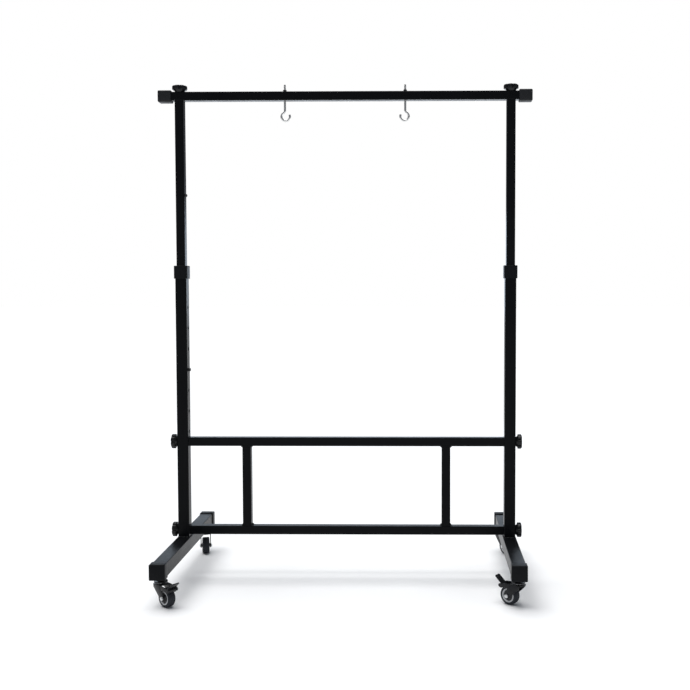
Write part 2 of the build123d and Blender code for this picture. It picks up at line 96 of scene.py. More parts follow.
def add_light(name, kind, energy, place, aim, **settings):
    """Adds a lamp that points from its place to what it lights."""
    data = bpy.data.lights.new(name, kind)
    data.energy = energy
    for key, value in settings.items():
        setattr(data, key, value)
    lamp = bpy.data.objects.new(name, data)
    lamp.location = place
    lamp.rotation_euler = (Vector(aim) - Vector(place)).to_track_quat("-Z", "Y").to_euler()
    lamp.visible_camera = False
    bpy.context.scene.collection.objects.link(lamp)


world = bpy.data.worlds.new("studio")
world.use_nodes = True
world.node_tree.nodes.clear()
seen_colour, seen_strength = (1.0, 1.0, 1.0, 1), 1.0
around_colour, around_strength = (0.86, 0.91, 1.0, 1), 0.22
seen = add_node(world.node_tree, "ShaderNodeBackground", {"Color": seen_colour, "Strength": seen_strength})
around = add_node(world.node_tree, "ShaderNodeBackground",
                  {"Color": around_colour, "Strength": around_strength})
ray = add_node(world.node_tree, "ShaderNodeLightPath")
either = add_node(world.node_tree, "ShaderNodeMixShader", {"Fac": ray.outputs["Is Camera Ray"]})
world.node_tree.links.new(around.outputs[0], either.inputs[1])
world.node_tree.links.new(seen.outputs[0], either.inputs[2])
add_node(world.node_tree, "ShaderNodeOutputWorld", {"Surface": either.outputs[0]})
bpy.context.scene.world = world

stand_middle = (0.0, 0.0, 0.7)
key_place, key_strength, key_spread = (-0.7, 0.5, 4.0), 3.35, radians(60)
panel_place, panel_aim, panel_power = (0.0, 3.3, 0.98), (0.0, 0.0, 0.98), 17
panel_width, panel_height, panel_colour = 4.6, 0.6, (0.74, 0.86, 1.0)
add_light("key", "SUN", key_strength, key_place, stand_middle, angle=key_spread)
add_light("back_light", "AREA", panel_power, panel_place, panel_aim, shape="RECTANGLE", size=panel_width,
          size_y=panel_height, color=panel_colour)

floor_half = 40.0
floor_mesh = bmesh.new()
bmesh.ops.create_grid(floor_mesh, x_segments=1, y_segments=1, size=floor_half)
floor_data = bpy.data.meshes.new("floor")
floor_mesh.to_mesh(floor_data)
floor_mesh.free()
floor = bpy.data.objects.new("floor", floor_data)
bpy.context.scene.collection.objects.link(floor)
floor_paper = bpy.data.materials.new("floor_paper")
floor_paper.use_nodes = True
floor_shader = floor_paper.node_tree.nodes["Principled BSDF"]
floor_shader.inputs["Base Color"].default_value = (0.9, 0.9, 0.9, 1)
floor_shader.inputs["Roughness"].default_value = 0.8
floor_shader.inputs["Specular IOR Level"].default_value = 0.1
floor_data.materials.append(floor_paper)

# ---- Welded base: feet, lower posts, crossbars and ladder uprights -----------------------------
# Square steel tube, welded up and powder coated satin black. The coat has a fine orange-peel skin,
# thins to a paler edge on the corners, and holds a trace of dust on what faces up.
base_tubes = ("foot_tube_left", "foot_tube_right", "lower_post_left", "lower_post_right", "mid_crossbar",
              "low_crossbar", "ladder_upright_left", "ladder_upright_right")


def start_group(name, numbers, outputs):
    """A shader node group with named number inputs and named number outputs."""
    group = bpy.data.node_groups.new(name, "ShaderNodeTree")
    for label, value in numbers.items():
        socket = group.interface.new_socket(label, in_out="INPUT", socket_type="NodeSocketFloat")
        socket.default_value = value
    for label in outputs:
        group.interface.new_socket(label, in_out="OUTPUT", socket_type="NodeSocketFloat")
    return group, group.nodes.new("NodeGroupInput").outputs, group.nodes.new("NodeGroupOutput")


def build_skin_group():
    """Height of a moulded or sprayed skin: fine grain over slow waves, and a slow tone of its own."""
    numbers = {"Grain per metre": 900, "Waves per metre": 18, "Grain share": 0.6}
    group, given, out = start_group("skin", numbers, ("Height", "Tone"))
    place = add_node(group, "ShaderNodeTexCoord").outputs["Object"]
    grain = add_node(group, "ShaderNodeTexNoise",
                     {"Vector": place, "Scale": given["Grain per metre"], "Detail": 2.0, "Roughness": 0.45})
    waves = add_node(group, "ShaderNodeTexNoise",
                     {"Vector": place, "Scale": given["Waves per metre"], "Detail": 3.0, "Roughness": 0.5})
    height = add_node(group, "ShaderNodeMix", {"Factor": given["Grain share"], "A": waves.outputs["Fac"],
                                               "B": grain.outputs["Fac"]}, data_type="FLOAT")
    group.links.new(height.outputs["Result"], out.inputs["Height"])
    group.links.new(waves.outputs["Fac"], out.inputs["Tone"])
    return group


def build_edge_group():
    """Mask of worn edges: where the rounded-off normal leaves the true one, broken up by noise."""
    group, given, out = start_group("edge_wear", {"Width": 0.0012, "Breaks per metre": 160, "Amount": 0.5},
                                    ("Mask",))
    place = add_node(group, "ShaderNodeTexCoord").outputs["Object"]
    rounded = add_node(group, "ShaderNodeBevel", {"Radius": given["Width"]}, samples=4)
    true_normal = add_node(group, "ShaderNodeNewGeometry").outputs["True Normal"]
    agree = add_node(group, "ShaderNodeVectorMath", {0: rounded.outputs["Normal"], 1: true_normal},
                     operation="DOT_PRODUCT")
    edge = add_node(group, "ShaderNodeMapRange",
                    {"Value": agree.outputs["Value"], "From Min": 0.995, "From Max": 0.8, "To Max": 1.0})
    breaks = add_node(group, "ShaderNodeTexNoise",
                      {"Vector": place, "Scale": given["Breaks per metre"], "Detail": 4.0, "Roughness": 0.65})
    patches = add_node(group, "ShaderNodeMapRange",
                       {"Value": breaks.outputs["Fac"], "From Min": 0.42, "From Max": 0.62, "To Max": 1.0})
    broken = add_node(group, "ShaderNodeMath", {0: edge.outputs["Result"], 1: patches.outputs["Result"]},
                      operation="MULTIPLY")
    worn = add_node(group, "ShaderNodeMath", {0: broken.outputs["Value"], 1: given["Amount"]},
                    operation="MULTIPLY")
    group.links.new(worn.outputs["Value"], out.inputs["Mask"])
    return group


def build_dust_group():
    """Mask of settled dust on surfaces that face up, gathered in soft drifts and single specks."""
    group, given, out = start_group("settled_dust", {"Amount": 0.3, "Drifts per metre": 35}, ("Mask",))
    place = add_node(group, "ShaderNodeTexCoord").outputs["Object"]
    facing = add_node(group, "ShaderNodeSeparateXYZ",
                      {"Vector": add_node(group, "ShaderNodeNewGeometry").outputs["True Normal"]})
    upward = add_node(group, "ShaderNodeMapRange",
                      {"Value": facing.outputs["Z"], "From Min": 0.2, "From Max": 1.0, "To Max": 1.0})
    drifts = add_node(group, "ShaderNodeTexNoise",
                      {"Vector": place, "Scale": given["Drifts per metre"], "Detail": 5.0, "Roughness": 0.7})
    specks = add_node(group, "ShaderNodeTexVoronoi", {"Vector": place, "Scale": 420.0})
    speck = add_node(group, "ShaderNodeMapRange",
                     {"Value": specks.outputs["Distance"], "From Min": 0.16, "From Max": 0.05, "To Max": 0.8})
    film = add_node(group, "ShaderNodeMath", {0: drifts.outputs["Fac"], 1: speck.outputs["Result"]},
                    operation="ADD")
    settled = add_node(group, "ShaderNodeMath", {0: film.outputs["Value"], 1: upward.outputs["Result"]},
                       operation="MULTIPLY")
    share = add_node(group, "ShaderNodeMath", {0: settled.outputs["Value"], 1: given["Amount"]},
                     operation="MULTIPLY", use_clamp=True)
    group.links.new(share.outputs["Value"], out.inputs["Mask"])
    return group


def build_handling_group():
    """Roughness of a surface that has been handled: smears and fine hairline scratches."""
    group, given, out = start_group("handling", {"Roughness": 0.4, "Swing": 0.12, "Smears per metre": 14},
                                    ("Roughness",))
    place = add_node(group, "ShaderNodeTexCoord").outputs["Object"]
    smears = add_node(group, "ShaderNodeTexNoise",
                      {"Vector": place, "Scale": given["Smears per metre"], "Detail": 5.0, "Roughness": 0.6,
                       "Distortion": 0.8})
    stretched = add_node(group, "ShaderNodeMapping", {"Vector": place, "Scale": (40.0, 40.0, 900.0)})
    hairlines = add_node(group, "ShaderNodeTexNoise", {"Vector": stretched.outputs["Vector"], "Scale": 1.0})
    both = add_node(group, "ShaderNodeMix", {"Factor": 0.3, "A": smears.outputs["Fac"],
                                             "B": hairlines.outputs["Fac"]}, data_type="FLOAT")
    centred = add_node(group, "ShaderNodeMath", {0: both.outputs["Result"], 1: 0.5}, operation="SUBTRACT")
    swung = add_node(group, "ShaderNodeMath",
                     {0: centred.outputs["Value"], 1: given["Swing"], 2: given["Roughness"]},
                     operation="MULTIPLY_ADD", use_clamp=True)
    group.links.new(swung.outputs["Value"], out.inputs["Roughness"])
    return group


skin_group, edge_group = build_skin_group(), build_edge_group()
dust_group, handling_group = build_dust_group(), build_handling_group()


def use_group(tree, group, **inputs):
    """Places a node group in a material; underscores stand for the spaces in its input names."""
    made = tree.nodes.new("ShaderNodeGroup")
    made.node_tree = group
    for name, value in inputs.items():
        made.inputs[name.replace("_", " ")].default_value = value
    return made.outputs


def finish(name, colour, second_colour, worn_colour, roughness, swing, grain, waves, grain_share, depth,
           wear, wear_width, dust, metallic=0.0, specular=0.5):
    """A finished surface: mottled colour, worn edges, dust, handled gloss and a fine skin."""
    material = bpy.data.materials.new(name)
    material.use_nodes = True
    tree = material.node_tree
    shader = tree.nodes["Principled BSDF"]
    shader.inputs["Metallic"].default_value = metallic
    shader.inputs["Specular IOR Level"].default_value = specular
    skin = use_group(tree, skin_group, Grain_per_metre=grain, Waves_per_metre=waves, Grain_share=grain_share)
    worn = use_group(tree, edge_group, Width=wear_width, Amount=wear)
    dusty = use_group(tree, dust_group, Amount=dust)
    handled = use_group(tree, handling_group, Roughness=roughness, Swing=swing)
    mottled = add_node(tree, "ShaderNodeMix", {"Factor": skin["Tone"]}, data_type="RGBA")
    mottled.inputs["A"].default_value = (*colour, 1)
    mottled.inputs["B"].default_value = (*second_colour, 1)
    rubbed = add_node(tree, "ShaderNodeMix", {"Factor": worn["Mask"]}, data_type="RGBA")
    tree.links.new(mottled.outputs["Result"], rubbed.inputs["A"])
    rubbed.inputs["B"].default_value = (*worn_colour, 1)
    dulled = add_node(tree, "ShaderNodeMix", {"Factor": dusty["Mask"]}, data_type="RGBA")
    tree.links.new(rubbed.outputs["Result"], dulled.inputs["A"])
    dulled.inputs["B"].default_value = (0.32, 0.31, 0.29, 1)
    rough = add_node(tree, "ShaderNodeMath", {0: dusty["Mask"], 1: 0.5, 2: handled["Roughness"]},
                     operation="MULTIPLY_ADD", use_clamp=True)
    bump = add_node(tree, "ShaderNodeBump", {"Height": skin["Height"], "Strength": 1.0, "Distance": depth})
    tree.links.new(dulled.outputs["Result"], shader.inputs["Base Color"])
    tree.links.new(rough.outputs["Value"], shader.inputs["Roughness"])
    tree.links.new(bump.outputs["Normal"], shader.inputs["Normal"])
    return material


def coat_nodes(material, *names):
    """Gives CAD nodes, which keep their shape, a finished material."""
    for name in names:
        nodes[name].data.materials.clear()
        nodes[name].data.materials.append(material)


def close_holes(shape):
    """Fills every open rim of a bmesh with a face."""
    rims = [edge for edge in shape.edges if len(edge.link_faces) == 1]
    bmesh.ops.holes_fill(shape, edges=rims, sides=0)


def make_piece(name, shape, material, body, slot, *stands_for):
    """Turns a finished bmesh into a smooth-shaded piece that rides on a body and stands for CAD nodes."""
    bmesh.ops.remove_doubles(shape, verts=shape.verts, dist=1e-6)
    close_holes(shape)
    bmesh.ops.recalc_face_normals(shape, faces=shape.faces)
    mesh = bpy.data.meshes.new(name)
    shape.to_mesh(mesh)
    shape.free()
    mesh.shade_smooth()
    mesh.set_sharp_from_angle(angle=radians(38))
    mesh.materials.append(material)
    piece = bpy.data.objects.new(name, mesh)
    bpy.context.scene.collection.objects.link(piece)
    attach(piece, body)
    if stands_for:
        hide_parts(*stands_for)
    return piece


def move(shape, matrix, verts=None):
    """Moves vertices of a bmesh, or all of it, by a matrix."""
    bmesh.ops.transform(shape, matrix=matrix, verts=verts or shape.verts)


def bevel(shape, edges, width, segments):
    """Rounds edges of a bmesh."""
    bmesh.ops.bevel(shape, geom=list(edges), offset=width, segments=segments, profile=0.5,
                    affect="EDGES", material=-1)


frame_paint = finish("frame_paint", (0.0021, 0.0025, 0.0032), (0.0036, 0.0041, 0.0052), (0.045, 0.050, 0.060),
                     roughness=0.30, swing=0.16, grain=760, waves=22, grain_share=0.55, depth=0.00022,
                     wear=0.4, wear_width=0.0009, dust=0.02, specular=0.07)
coat_nodes(frame_paint, *base_tubes)

# ---- Weld beads ----------------------------------------------------------------------------------
# Hand-laid fillet welds round each lower post's foot and beside the ladder uprights. Each bead is a
# row of overlapping ripples, ground nowhere and painted over with the frame.
bead_sides, bead_inset = 12, 0.002
ripple_pitch = 0.0017
ripples = ((0.35, 1.10), (0.4, 1.0), (0.25, 0.90))      # share of the pitch, and swelling
bead_radius_share, bead_start_share, bead_end_taper = 0.78, 0.45, 0.8
post_bead_leg, post_side_bead_leg, ladder_bead_leg = 0.005, 0.0025, 0.005


def grow(shape, face):
    """Extrudes one face where it is and returns the new face."""
    return bmesh.ops.extrude_discrete_faces(shape, faces=[face])["faces"][0]


def resize(shape, face, radius):
    """Scales a round face about its middle to a radius."""
    middle = face.calc_center_median()
    share = radius / (face.verts[0].co - middle).length
    bmesh.ops.scale(shape, vec=(share,) * 3, verts=face.verts, space=Matrix.Translation(-middle))


def lay_bead(shape, start, end, leg):
    """Adds one rippled bead along a corner line; it reaches about one leg up each wall."""
    start, end = Vector(start), Vector(end)
    run = end - start
    count = max(3, round(run.length / ripple_pitch))
    facing = run.to_track_quat("Z", "Y").to_matrix().to_4x4()
    ring = bmesh.ops.create_circle(shape, segments=bead_sides, radius=leg * bead_start_share, cap_ends=True)
    move(shape, Matrix.Translation(start) @ facing, ring["verts"])
    tip = ring["verts"][0].link_faces[0]
    for step in range(count):
        taper = bead_end_taper if step in (0, count - 1) else 1.0
        for share, swell in ripples:
            tip = grow(shape, tip)
            bmesh.ops.translate(shape, verts=tip.verts, vec=run * (share / count))
            resize(shape, tip, leg * bead_radius_share * swell * taper)


post_beads = bmesh.new()
for side in SIDES:
    low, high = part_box(f"lower_post_{side}")
    for y in (low.y, high.y):
        lay_bead(post_beads, (low.x + bead_inset, y, low.z), (high.x - bead_inset, y, low.z), post_bead_leg)
    for x in (low.x, high.x):
        lay_bead(post_beads, (x, low.y + bead_inset, low.z), (x, high.y - bead_inset, low.z),
                 post_side_bead_leg)
# The beads' coat turns paler on its ripple crests. Part of this is real paint rubbed thin, and part is a
# painted glint, a pale colour standing in for the light the welds catch.
bead_paint_and_glint = finish("bead_paint_and_glint", (0.005, 0.0053, 0.0062), (0.010, 0.0104, 0.0115), (0.12, 0.125, 0.135),
                    roughness=0.22, swing=0.1, grain=1100, waves=90, grain_share=0.4, depth=0.0002,
                    wear=0.6, wear_width=0.0006, dust=0.02, specular=0.4)
make_piece("post_weld_beads", post_beads, bead_paint_and_glint, "base", "frame_paint", "post_welds")

ladder_beads = bmesh.new()
for side in SIDES:
    low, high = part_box(f"ladder_upright_{side}")
    for z in (low.z, high.z):
        for x in (low.x, high.x):
            lay_bead(ladder_beads, (x, low.y + bead_inset, z), (x, high.y - bead_inset, z), ladder_bead_leg)
make_piece("ladder_weld_beads", ladder_beads, bead_paint_and_glint, "base", "frame_paint", "ladder_welds")

# ---- Foot end caps --------------------------------------------------------------------------------
# Moulded polyethylene caps pushed over both ends of each foot tube. Each has a soft outer rim, a
# blind square socket and a fine spark-eroded grain.
foot_cap_side, foot_cap_length = 0.0424, 0.029
foot_cap_wall, foot_cap_end_wall = 0.0022, 0.003
foot_cap_corner, foot_cap_end_round, foot_cap_mouth_round = 0.0026, 0.0016, 0.0006


def level_edges(shape, height, reach=0.0):
    """The level edges of a bmesh at a height that lie all beyond a square about the Z axis."""
    level = [e for e in shape.edges if all(abs(v.co.z - height) < 1e-6 for v in e.verts)]
    return [e for e in level if min(max(abs(v.co.x), abs(v.co.y)) for v in e.verts) >= reach]


def slip_cap(side, length, wall, end_wall, corner, end_round, mouth_round):
    """A square cap on the Z axis: its closed end is at z = 0 and its mouth opens downwards."""
    shape = bmesh.new()
    bmesh.ops.create_cube(shape, size=1)
    move(shape, Matrix.Translation((0, 0, -length / 2)) @ Matrix.Diagonal((side, side, length, 1)))
    bevel(shape, [e for e in shape.edges if abs(e.verts[0].co.z - e.verts[1].co.z) > length / 2], corner, 5)
    mouth = min(shape.faces, key=lambda f: f.calc_center_median().z)
    bmesh.ops.inset_region(shape, faces=[mouth], thickness=wall, use_even_offset=True)
    floor_face = grow(shape, mouth)
    bmesh.ops.translate(shape, verts=floor_face.verts, vec=(0, 0, length - end_wall))
    bevel(shape, level_edges(shape, 0.0), end_round, 4)
    bevel(shape, level_edges(shape, -length, (side - wall) / 2), mouth_round, 2)
    return shape


def join(target, *others):
    """Adds other bmeshes to the first and frees them."""
    for other in others:
        spare = bpy.data.meshes.new("spare")
        other.to_mesh(spare)
        other.free()
        target.from_mesh(spare)
        bpy.data.meshes.remove(spare)
    return target


cap_plastic = finish("cap_plastic", (0.0032, 0.0038, 0.0050), (0.0055, 0.0062, 0.0078), (0.030, 0.033, 0.039),
                     roughness=0.42, swing=0.14, grain=1500, waves=40, grain_share=0.7, depth=0.00016,
                     wear=0.35, wear_width=0.0012, dust=0.02, specular=0.10)
foot_caps = bmesh.new()
for side in SIDES:
    low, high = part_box(f"foot_tube_{side}")
    for end, face_y in ((-1, low.y - foot_cap_end_wall), (1, high.y + foot_cap_end_wall)):
        cap = slip_cap(foot_cap_side, foot_cap_length, foot_cap_wall, foot_cap_end_wall, foot_cap_corner,
                       foot_cap_end_round, foot_cap_mouth_round)
        centre = ((low.x + high.x) / 2, face_y, (low.z + high.z) / 2)
        move(cap, Matrix.Translation(centre) @ Matrix.Rotation(-end * pi / 2, 4, "X"))
        join(foot_caps, cap)
make_piece("foot_slip_caps", foot_caps, cap_plastic, "base", "cap_plastic", "foot_end_caps")

# ---- Collars ---------------------------------------------------------------------------------------
# A moulded guide is pressed on top of each lower post. Its lip centres the upper post, its skirt
# hides the cut end of the lower tube, and a thin liner reaches down inside.
collar_height, collar_lip, collar_wall = 0.037, 0.005, 0.0031
collar_corner, collar_top_round, rim_reach = 0.0034, 0.0018, 0.002
upper_clearance, socket_slack = 0.0003, 0.0002
liner_wall, liner_round = 0.0014, 0.0016
seam, shell_lap = 0.00004, 0.0002


def square_sleeve(outer, inner, bottom, top, corner):
    """A square tube on the Z axis with rounded corners and open ends."""
    shape = bmesh.new()
    bmesh.ops.create_grid(shape, x_segments=1, y_segments=1, size=outer / 2)
    bmesh.ops.bevel(shape, geom=shape.verts[:], offset=corner, segments=5, profile=0.5, affect="VERTICES",
                    material=-1)
    hole = shape.faces[:]
    bmesh.ops.inset_region(shape, faces=hole, thickness=(outer - inner) / 2, use_boundary=True,
                           use_even_offset=True)
    bmesh.ops.delete(shape, geom=hole, context="FACES_ONLY")
    move(shape, Matrix.Translation((0, 0, bottom)))
    grown = bmesh.ops.extrude_face_region(shape, geom=shape.faces[:])["geom"]
    tops = [item for item in grown if isinstance(item, bmesh.types.BMVert)]
    bmesh.ops.translate(shape, verts=tops, vec=(0, 0, top - bottom))
    return shape


for side in SIDES:
    low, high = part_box(f"collar_{side}")
    post_low, post_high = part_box(f"lower_post_{side}")
    upper_low, upper_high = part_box(f"upper_post_{side}")
    post_side = post_high.x - post_low.x
    bore = upper_high.x - upper_low.x + 2 * upper_clearance
    outer = post_side + 2 * collar_wall
    lip_foot = high.z - collar_lip
    skirt = square_sleeve(outer - seam, post_side + socket_slack, high.z - collar_height,
                          lip_foot + shell_lap, collar_corner)
    lip = square_sleeve(outer, bore, lip_foot, high.z, collar_corner)
    rim = [e for e in level_edges(lip, high.z) if sum(abs(f.normal.z) < 0.5 for f in e.link_faces) == 1
           and max(max(abs(v.co.x), abs(v.co.y)) for v in e.verts) > bore / 2 + rim_reach]
    bevel(lip, rim, collar_top_round, 3)
    liner = square_sleeve(bore + 2 * liner_wall, bore + seam, low.z, lip_foot + shell_lap, liner_round)
    collar = join(bmesh.new(), skirt, lip, liner)
    move(collar, Matrix.Translation(((post_low.x + post_high.x) / 2, 0, 0)))
    make_piece(f"collar_guide_{side}", collar, cap_plastic, "base", "cap_plastic", f"collar_{side}")

# ---- Sliding frame: upper posts and top bar ----------------------------------------------------------
# Slim square tube in the same powder coat. The upper posts telescope in the lower ones, and the bar
# is bolted down on them, so their coat is a little more rubbed where hands and collars touch it.
sliding_paint = finish("sliding_paint", (0.0026, 0.0029, 0.0036), (0.0044, 0.0048, 0.0059),
                       (0.05, 0.054, 0.062),
                       roughness=0.28, swing=0.2, grain=760, waves=26, grain_share=0.5, depth=0.0002,
                       wear=0.5, wear_width=0.0009, dust=0.02, specular=0.10)
coat_nodes(sliding_paint, "upper_post_left", "upper_post_right", "top_bar")

# ---- Bar end caps -------------------------------------------------------------------------------------
# Thick soft-edged caps of dull black rubbery plastic, pushed over the bar's ends so that cloth and
# clamps can't slide off.
bar_cap_side, bar_cap_wall, bar_cap_length = 0.033, 0.004, 0.0375
bar_cap_corner, bar_cap_end_round, bar_cap_mouth_round = 0.0044, 0.0032, 0.0018
rubber_plastic = finish("rubber_plastic", (0.010, 0.0110, 0.0128), (0.015, 0.0162, 0.0185),
                        (0.05, 0.053, 0.06),
                        roughness=0.52, swing=0.12, grain=1300, waves=34, grain_share=0.75, depth=0.0002,
                        wear=0.3, wear_width=0.0016, dust=0.04, specular=0.2)
cap_low, cap_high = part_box("bar_end_caps")
bar_low, bar_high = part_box("top_bar")
bar_caps = bmesh.new()
for side, face_x in ((-1, cap_low.x), (1, cap_high.x)):
    cap = slip_cap(bar_cap_side, bar_cap_length, bar_cap_wall, bar_cap_wall, bar_cap_corner,
                   bar_cap_end_round, bar_cap_mouth_round)
    centre = (face_x, 0, (bar_low.z + bar_high.z) / 2)
    move(cap, Matrix.Translation(centre) @ Matrix.Rotation(side * pi / 2, 4, "Y"))
    join(bar_caps, cap)
make_piece("bar_slip_caps", bar_caps, rubber_plastic, "upper_frame", "cap_plastic", "bar_end_caps")

# ---- Threaded plugs inside the tubes -----------------------------------------------------------------
# Nylon plugs driven into the upper posts and the crossbars' ends; the knobs' studs screw into them.
plug_nylon = finish("plug_nylon", (0.028, 0.028, 0.029), (0.036, 0.036, 0.037), (0.08, 0.08, 0.08),
                    roughness=0.5, swing=0.1, grain=1200, waves=60, grain_share=0.6, depth=0.0001,
                    wear=0.2, wear_width=0.0008, dust=0.0)
coat_nodes(plug_nylon, "crossbar_plugs", "post_top_plugs")

# ---- Snap buttons, their springs and the stop rivets ------------------------------------------------
# A dark plated button with a domed end locks each upper post through a hole in the lower one; a bent
# leaf of spring steel inside the tube pushes it out. A domed rivet above the collar is the stop.
button_radius, button_flange_radius, button_flange = 0.005, 0.007, 0.0015
button_dome, button_sides = (0.0032, 6), 48


def turned(profile, segments, closed=True):
    """Spins an outline of (radius, height) points about Z into a closed turned shape."""
    shape = bmesh.new()
    points = [shape.verts.new((radius, 0, height)) for radius, height in profile]
    pairs = list(zip(points, points[1:])) + ([(points[-1], points[0])] if closed else [])
    edges = [shape.edges.new(pair) for pair in pairs]
    bmesh.ops.spin(shape, geom=points + edges, cent=(0, 0, 0), axis=(0, 0, 1), dvec=(0, 0, 0), angle=tau,
                   steps=segments, use_merge=True)
    bmesh.ops.remove_doubles(shape, verts=shape.verts, dist=1e-7)
    wires = [edge for edge in shape.edges if not edge.link_faces]
    bmesh.ops.delete(shape, geom=wires, context="EDGES")
    return shape


def dome(radius, height, rounding, steps):
    """Outline points that round off a turned shape's top edge, from its side to its middle."""
    turns = [step * pi / 2 / steps for step in range(steps + 1)]
    return [(radius - rounding * (1 - cos(turn)), height - rounding * (1 - sin(turn))) for turn in turns] + [
        (0, height)]


zinc_steel = finish("zinc_steel", (0.50, 0.51, 0.52), (0.60, 0.61, 0.61), (0.75, 0.75, 0.74),
                    roughness=0.3, swing=0.2, grain=500, waves=120, grain_share=0.4, depth=0.00006,
                    wear=0.4, wear_width=0.0005, dust=0.03, metallic=1.0)
dark_steel = finish("dark_steel", (0.05, 0.05, 0.052), (0.08, 0.08, 0.082), (0.35, 0.35, 0.35),
                    roughness=0.32, swing=0.15, grain=700, waves=150, grain_share=0.4, depth=0.00008,
                    wear=0.6, wear_width=0.0006, dust=0.03, metallic=1.0)
spring_steel = finish("spring_steel", (0.33, 0.33, 0.34), (0.27, 0.27, 0.28), (0.5, 0.5, 0.5),
                      roughness=0.3, swing=0.2, grain=900, waves=100, grain_share=0.5, depth=0.00005,
                      wear=0.3, wear_width=0.0004, dust=0.0, metallic=1.0)
spring_strip, spring_width, spring_bend, spring_bend_round = 0.0008, 0.008, 0.003, 0.0012
spring_shoulder_share = 0.286   # height of the straight leg behind the button, of the whole leaf


def leaf_spring(low, high):
    """A bent leaf in XZ: up behind the button at +X, over the top and down the far wall."""
    shape = bmesh.new()
    shoulder = low.z + spring_shoulder_share * (high.z - low.z)
    bends = [(high.x, low.z), (high.x, shoulder), (low.x + spring_bend, high.z), (low.x, high.z),
             (low.x, low.z)]
    near = [shape.verts.new((x, -spring_width / 2, z)) for x, z in bends]
    line = [shape.edges.new(pair) for pair in zip(near, near[1:])]
    grown = bmesh.ops.extrude_edge_only(shape, edges=line)["geom"]
    far = [item for item in grown if isinstance(item, bmesh.types.BMVert)]
    bmesh.ops.translate(shape, verts=far, vec=(0, spring_width, 0))
    bevel(shape, [e for e in shape.edges if len(e.link_faces) == 2], spring_bend_round, 4)
    bmesh.ops.recalc_face_normals(shape, faces=shape.faces)
    front = max(shape.faces, key=lambda f: f.calc_center_median().x)
    if front.normal.x < 0:
        bmesh.ops.reverse_faces(shape, faces=shape.faces)
    bmesh.ops.solidify(shape, geom=shape.faces[:], thickness=spring_strip)
    return shape


for side in SIDES:
    press = joints[f"snap_button_{side}_press"]
    outward = Vector(press["axis"]) * -1
    facing = Matrix.Rotation(atan2(outward.y, outward.x), 4, "Z")
    low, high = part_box(f"button_spring_{side}")
    post_low, post_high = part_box(f"upper_post_{side}")
    centre = Vector(((post_low.x + post_high.x) / 2, 0, 0))
    reaches = sorted(((corner - centre) @ outward) for corner in (low, high))
    leaf = leaf_spring(Vector((reaches[0], 0, low.z)), Vector((reaches[1], 0, high.z)))
    move(leaf, Matrix.Translation(centre) @ facing)
    spring = make_piece(f"leaf_spring_{side}", leaf, spring_steel, "upper_frame", "spring_steel",
                        f"button_spring_{side}")
    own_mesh(spring)

for side in SIDES:
    low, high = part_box(f"snap_button_{side}")
    axis = Vector(joints[f"snap_button_{side}_press"]["axis"]) * -1
    length = abs((high - low) @ axis)
    outline = [(0, 0), (button_flange_radius, 0), (button_flange_radius, button_flange),
               (button_radius, button_flange)] + dome(button_radius, length, *button_dome)
    button = turned(outline, button_sides)
    start = (low + high) / 2 - axis * (length / 2)
    move(button, Matrix.Translation(start) @ axis.to_track_quat("Z", "Y").to_matrix().to_4x4())
    make_piece(f"snap_button_stem_{side}", button, dark_steel, f"snap_button_{side}_body", "zinc_steel",
               f"snap_button_{side}")

rivet_radius, rivet_proud, rivet_depth, rivet_shank = 0.0045, 0.0055, 0.003, 0.0025
rivet_dome, rivet_sides = (0.0028, 6), 40
rivets = bmesh.new()
rivet_low, rivet_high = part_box("stop_rivets")
for side in SIDES:
    axis = Vector(joints[f"snap_button_{side}_press"]["axis"]) * -1
    post_low, post_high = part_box(f"upper_post_{side}")
    centre = Vector(((post_low.x + post_high.x) / 2, 0, (rivet_low.z + rivet_high.z) / 2))
    face = centre + axis * (post_high.x - post_low.x) / 2
    head = turned([(0, -rivet_depth), (rivet_shank, -rivet_depth), (rivet_shank, 0), (rivet_radius, 0)]
                  + dome(rivet_radius, rivet_proud, *rivet_dome), rivet_sides)
    move(head, Matrix.Translation(face) @ axis.to_track_quat("Z", "Y").to_matrix().to_4x4())
    join(rivets, head)
make_piece("stop_rivet_heads", rivets, dark_steel, "upper_frame", "zinc_steel", "stop_rivets")

# ---- Hook bolts ---------------------------------------------------------------------------------------
# Open-eye bolts bent from bright nickel-plated wire, with a rolled thread where they pass the bar.
# A small black nut on top of the bar holds each one, and they can be turned by hand.
wire_radius, thread_pitch, thread_depth = 0.003, 0.001, 0.00028
bend_radius, bend_turn = 0.008, radians(60)
eye_radius, eye_sweep = 0.012, radians(260)
wire_sides, arc_step, tip_rings = 20, radians(6), (0.35, 0.75, 0.96)
hook_drop, shank_lap, thread_lap, thread_cut, thread_sides = 0.0277, 0.012, 0.004, 0.0004, 24
nut_across, nut_height, nut_gap, nut_round = 0.010, 0.005, 0.0003, 0.0006

bright_steel = finish("bright_steel", (0.76, 0.76, 0.75), (0.66, 0.66, 0.65), (0.88, 0.88, 0.87),
                      roughness=0.24, swing=0.16, grain=260, waves=90, grain_share=0.35, depth=0.00008,
                      wear=0.3, wear_width=0.0004, dust=0.01, metallic=1.0)


